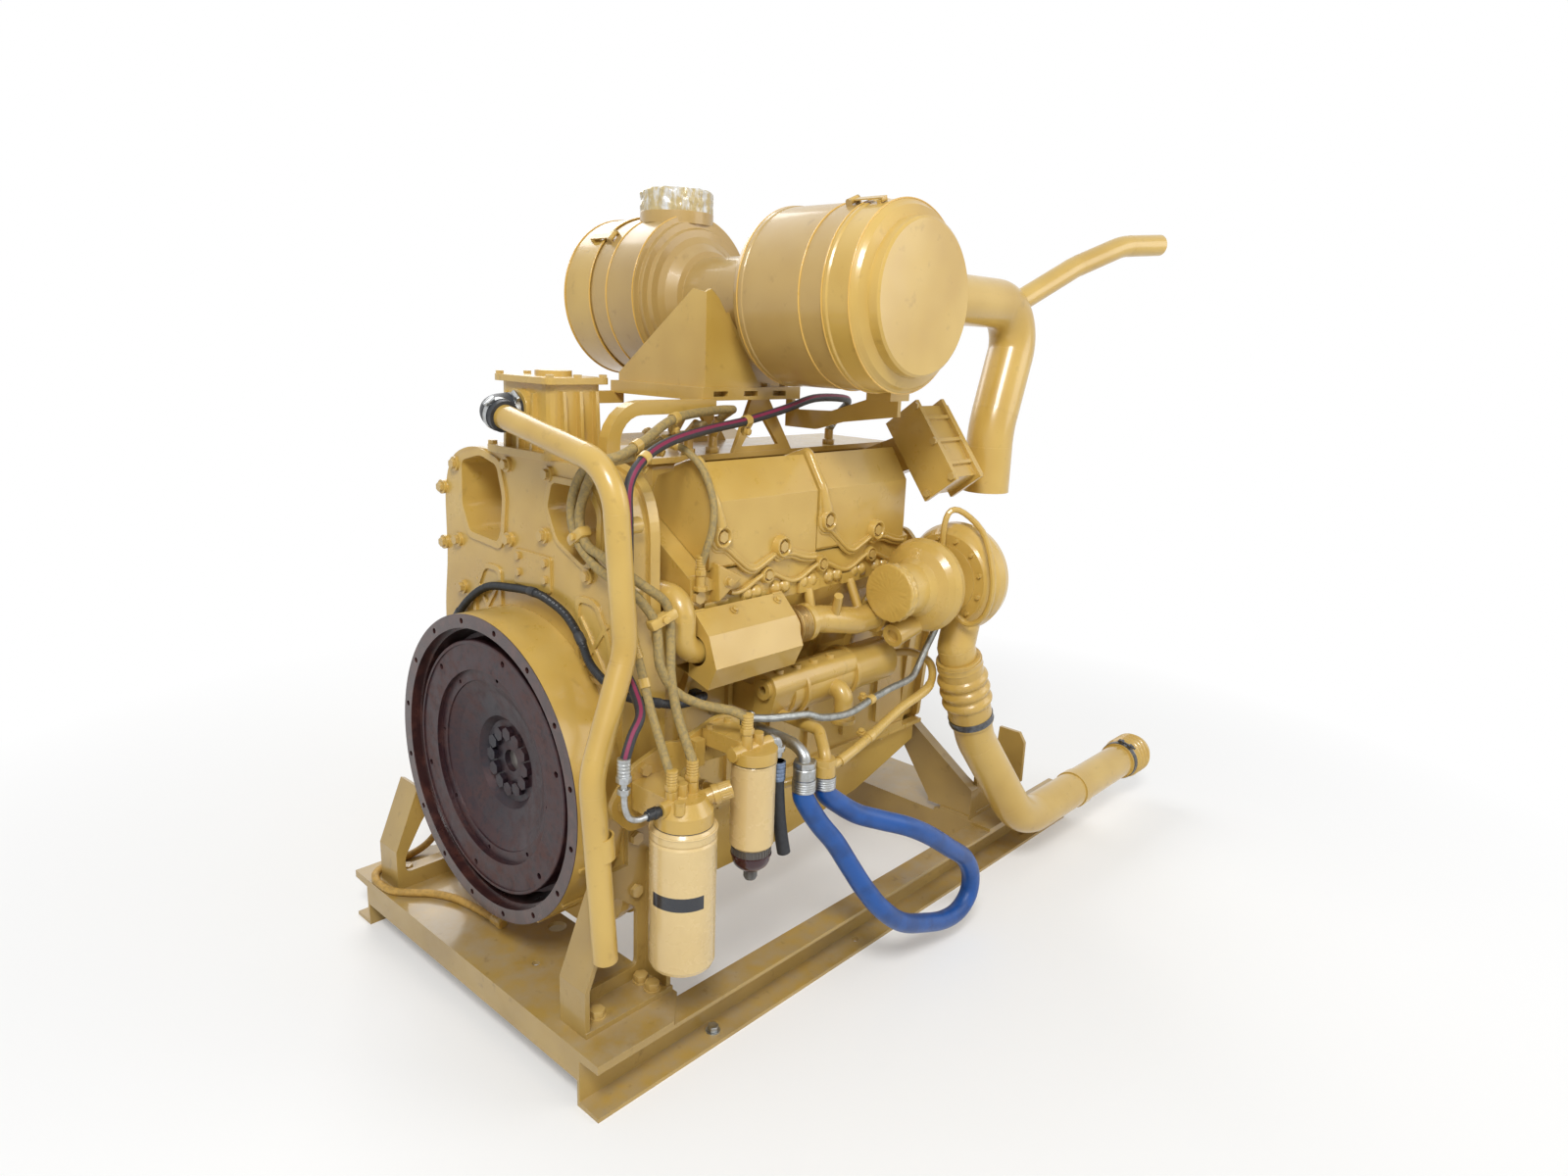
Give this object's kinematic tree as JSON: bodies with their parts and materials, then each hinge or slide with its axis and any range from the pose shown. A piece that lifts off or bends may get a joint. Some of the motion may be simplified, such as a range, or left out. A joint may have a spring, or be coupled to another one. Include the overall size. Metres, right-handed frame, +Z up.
{
  "type": "diesel power unit",
  "caption": "V diesel engine on a channel skid, open flywheel end, side turbocharger, filters and hoses, twin-can air cleaner on a bracket above.",
  "frame": {"origin": "centre of the flywheel housing's flange face, on the crankshaft's axis", "axes": "+X along the crankshaft to the damper end, -Y to the side with the turbocharger and the filters, +Z up"},
  "size_m": [2.2866, 1.2002, 1.8915],
  "materials": {
    "paint": "semi-gloss, dusty",
    "bare_iron": "matt",
    "forged_steel": "satin",
    "canister_paint": "gloss",
    "red_bowl": "clear, gloss",
    "black_plastic": "matt",
    "black_rubber": "matt",
    "blue_rubber": "satin",
    "olive_hose": "matt",
    "zinc": "satin",
    "wrap_film": "clouded film"
  },
  "bodies": {
    "unit": {"skid_frame": "paint", "rear_support_near": "paint", "rear_support_far": "paint", "front_support": "paint", "fasteners": "zinc", "flywheel_housing": "paint", "gear_case": "paint", "cylinder_block": "paint", "oil_pan": "paint", "head_near": "paint", "head_far": "paint", "cover_near_rear": "paint", "cover_near_front": "paint", "cover_far_rear": "paint", "cover_far_front": "paint", "front_cover": "paint", "inlet_manifold": "paint", "inlet_air_housing": "paint", "heat_shield": "paint", "exhaust_manifold": "paint", "exhaust_manifold_far": "paint", "turbine_housing": "paint", "bearing_housing": "paint", "compressor_housing": "paint", "outlet_cover": "paint", "turbo_oil_tube": "paint", "charge_hose": "black_rubber", "clamps": "zinc", "charge_pipe": "paint", "oil_cooler": "paint", "filter_plate": "paint", "filter_base": "paint", "fuel_filter": "canister_paint", "separator_head": "paint", "water_separator": "canister_paint", "separator_bowl": "red_bowl", "cleaner_can_near": "paint", "cleaner_can_far": "paint", "end_cover_near": "paint", "end_cover_far": "paint", "inlet_wrap": "wrap_film", "cleaner_bracket": "paint", "intake_pipe": "paint", "breather_housing": "paint", "breather_elbow": "black_plastic", "breather_pipe": "paint", "blue_hose": "blue_rubber", "drain_hose": "paint", "dark_hose": "black_rubber", "fluid_lines": "olive_hose", "wiring_loom": "black_rubber"},
    "crank": {"flywheel": "bare_iron", "flywheel_bolts": "bare_iron", "crankshaft": "forged_steel", "vibration_damper": "paint"},
    "turbo": {"turbo_rotor": "bare_iron"},
    "plunger": {"priming_plunger": "black_plastic"},
    "valve": {"drain_valve": "black_plastic"},
    "near_latch": {"latch_near": "zinc"},
    "far_latch": {"latch_far": "zinc"}
  },
  "joints": [
    {"name": "crank_spin", "type": "hinge", "parent": "unit", "child": "crank", "pos_m": [0, 0, 0], "axis": [1, 0, 0], "continuous": true},
    {"name": "turbo_spin", "type": "hinge", "parent": "unit", "child": "turbo", "pos_m": [1.07, -0.467, 0.365], "axis": [1, 0, 0], "continuous": true},
    {"name": "pump_stroke", "type": "slide", "parent": "unit", "child": "plunger", "axis": [0.8313, -0.489, 0.2641], "range_m": [0, 0.04]},
    {"name": "drain_turn", "type": "hinge", "parent": "unit", "child": "valve", "pos_m": [0.317, -0.54, -0.16], "axis": [0, 0, 1], "range_deg": [0, 90]},
    {"name": "near_latch_swing", "type": "hinge", "parent": "unit", "child": "near_latch", "pos_m": [0.65558, -0.4545, 1.25706], "axis": [-0.9272, 0, -0.3746], "range_deg": [0, 110]},
    {"name": "far_latch_swing", "type": "hinge", "parent": "unit", "child": "far_latch", "pos_m": [0.57995, 0.27, 1.20508], "axis": [0.682, 0, 0.7314], "range_deg": [0, 110]}
  ]
}
